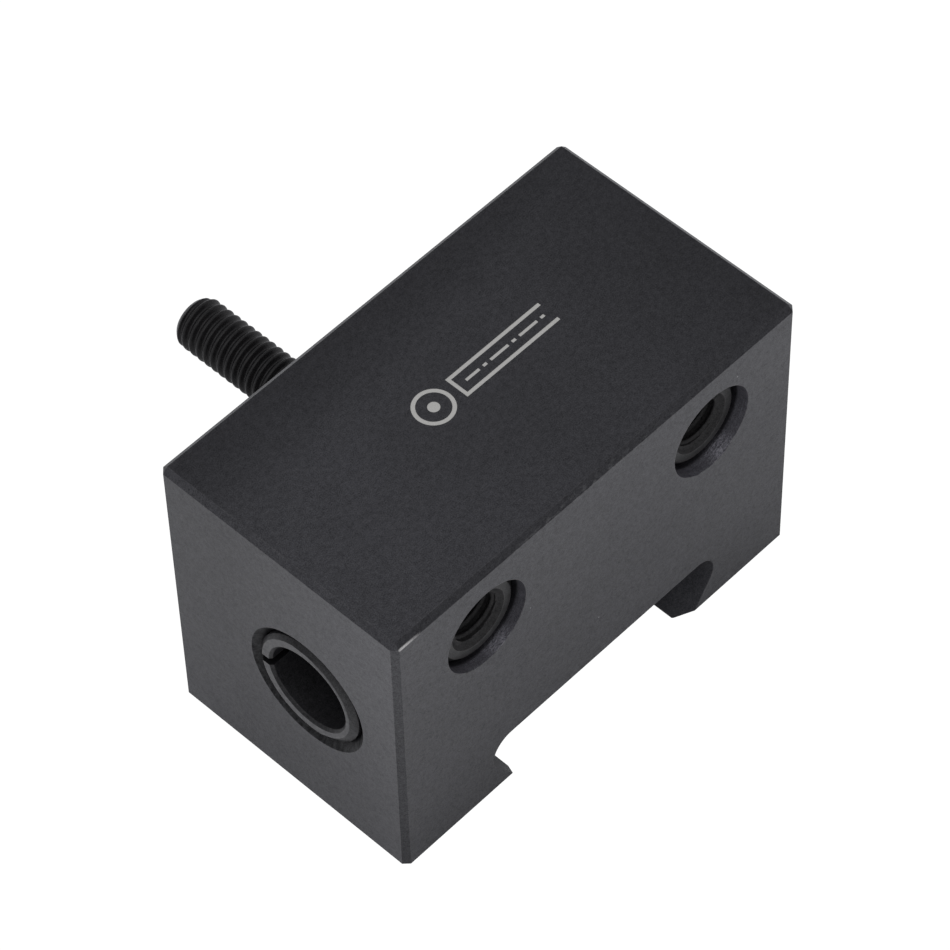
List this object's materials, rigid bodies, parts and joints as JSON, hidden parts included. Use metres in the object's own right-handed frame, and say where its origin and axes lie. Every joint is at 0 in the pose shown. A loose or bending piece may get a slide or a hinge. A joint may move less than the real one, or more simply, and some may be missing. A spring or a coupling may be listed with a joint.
{
  "type": "boring bar holder for a quick change tool post",
  "caption": "Boring bar holder of a quick change tool post: blackened steel block with a dovetail slot, split reducing sleeve, cotter clamps and a threaded height stud with nuts.",
  "frame": {"origin": "centre of the footprint of the whole holder, height stud included, on the plane of the two dovetail-side lands that it rests on", "axes": "+X along the boring bar bore, +Z from the dovetail side to the plain outer face, +Y the side the height stud and the clamp screw heads come out of, which is the upper side in use"},
  "size_m": [0.054, 0.0556, 0.038],
  "materials": {
    "blackened_block": "black oxide, satin, ground faces",
    "blackened_sleeve": "black oxide, satin, turned",
    "blackened_clamp": "black oxide, turned",
    "black_fastener": "oiled black oxide",
    "blackened_nut": "oiled black oxide"
  },
  "bodies": {
    "holder": {"holder_body": "blackened_block", "height_stud": "black_fastener"},
    "sleeve": {"reducing_sleeve": "blackened_sleeve"},
    "left_plain_cotter": {"plain_cotter_left": "blackened_clamp"},
    "left_threaded_cotter": {"threaded_cotter_left": "blackened_clamp"},
    "left_screw": {"cap_screw_left": "black_fastener"},
    "right_plain_cotter": {"plain_cotter_right": "blackened_clamp"},
    "right_threaded_cotter": {"threaded_cotter_right": "blackened_clamp"},
    "right_screw": {"cap_screw_right": "black_fastener"},
    "jam_nut": {"jam_nut": "blackened_nut"},
    "height_nut": {"height_nut": "blackened_nut"}
  },
  "joints": [
    {"name": "sleeve_draw", "type": "slide", "parent": "holder", "child": "sleeve", "axis": [-1, 0, 0], "range_m": [0, 0.056]},
    {"name": "left_clamp_open", "type": "slide", "parent": "holder", "child": "left_plain_cotter", "axis": [0, 1, 0], "range_m": [0, 0.001]},
    {"name": "left_threaded_cotter_slide", "type": "slide", "parent": "holder", "child": "left_threaded_cotter", "axis": [0, -1, 0], "range_m": [0, 0.00105]},
    {"name": "left_clamp_screw_turn", "type": "hinge", "parent": "left_plain_cotter", "child": "left_screw", "pos_m": [-0.0153, -0.01273, 0.0296], "axis": [0, 1, 0], "range_deg": [0, 721]},
    {"name": "right_clamp_open", "type": "slide", "parent": "holder", "child": "right_plain_cotter", "axis": [0, 1, 0], "range_m": [0, 0.001]},
    {"name": "right_threaded_cotter_slide", "type": "slide", "parent": "holder", "child": "right_threaded_cotter", "axis": [0, -1, 0], "range_m": [0, 0.00105]},
    {"name": "right_clamp_screw_turn", "type": "hinge", "parent": "right_plain_cotter", "child": "right_screw", "pos_m": [0.0153, -0.01273, 0.0296], "axis": [0, 1, 0], "range_deg": [0, 721]},
    {"name": "height_nut_travel", "type": "slide", "parent": "holder", "child": "jam_nut", "axis": [0, 1, 0], "range_m": [0, 0.0145]},
    {"name": "height_nut_turn", "type": "hinge", "parent": "jam_nut", "child": "height_nut", "pos_m": [0, 0.0057, 0.01394], "axis": [0, 1, 0], "range_deg": [0, 5225]}
  ],
  "couplings": [
    {"joint": "left_threaded_cotter_slide", "follows": "left_clamp_open", "ratio": 1},
    {"joint": "left_clamp_screw_turn", "follows": "left_clamp_open", "rad_per_m": 12566},
    {"joint": "right_threaded_cotter_slide", "follows": "right_clamp_open", "ratio": 1},
    {"joint": "right_clamp_screw_turn", "follows": "right_clamp_open", "rad_per_m": 12566},
    {"joint": "height_nut_turn", "follows": "height_nut_travel", "rad_per_m": 6283.2}
  ]
}
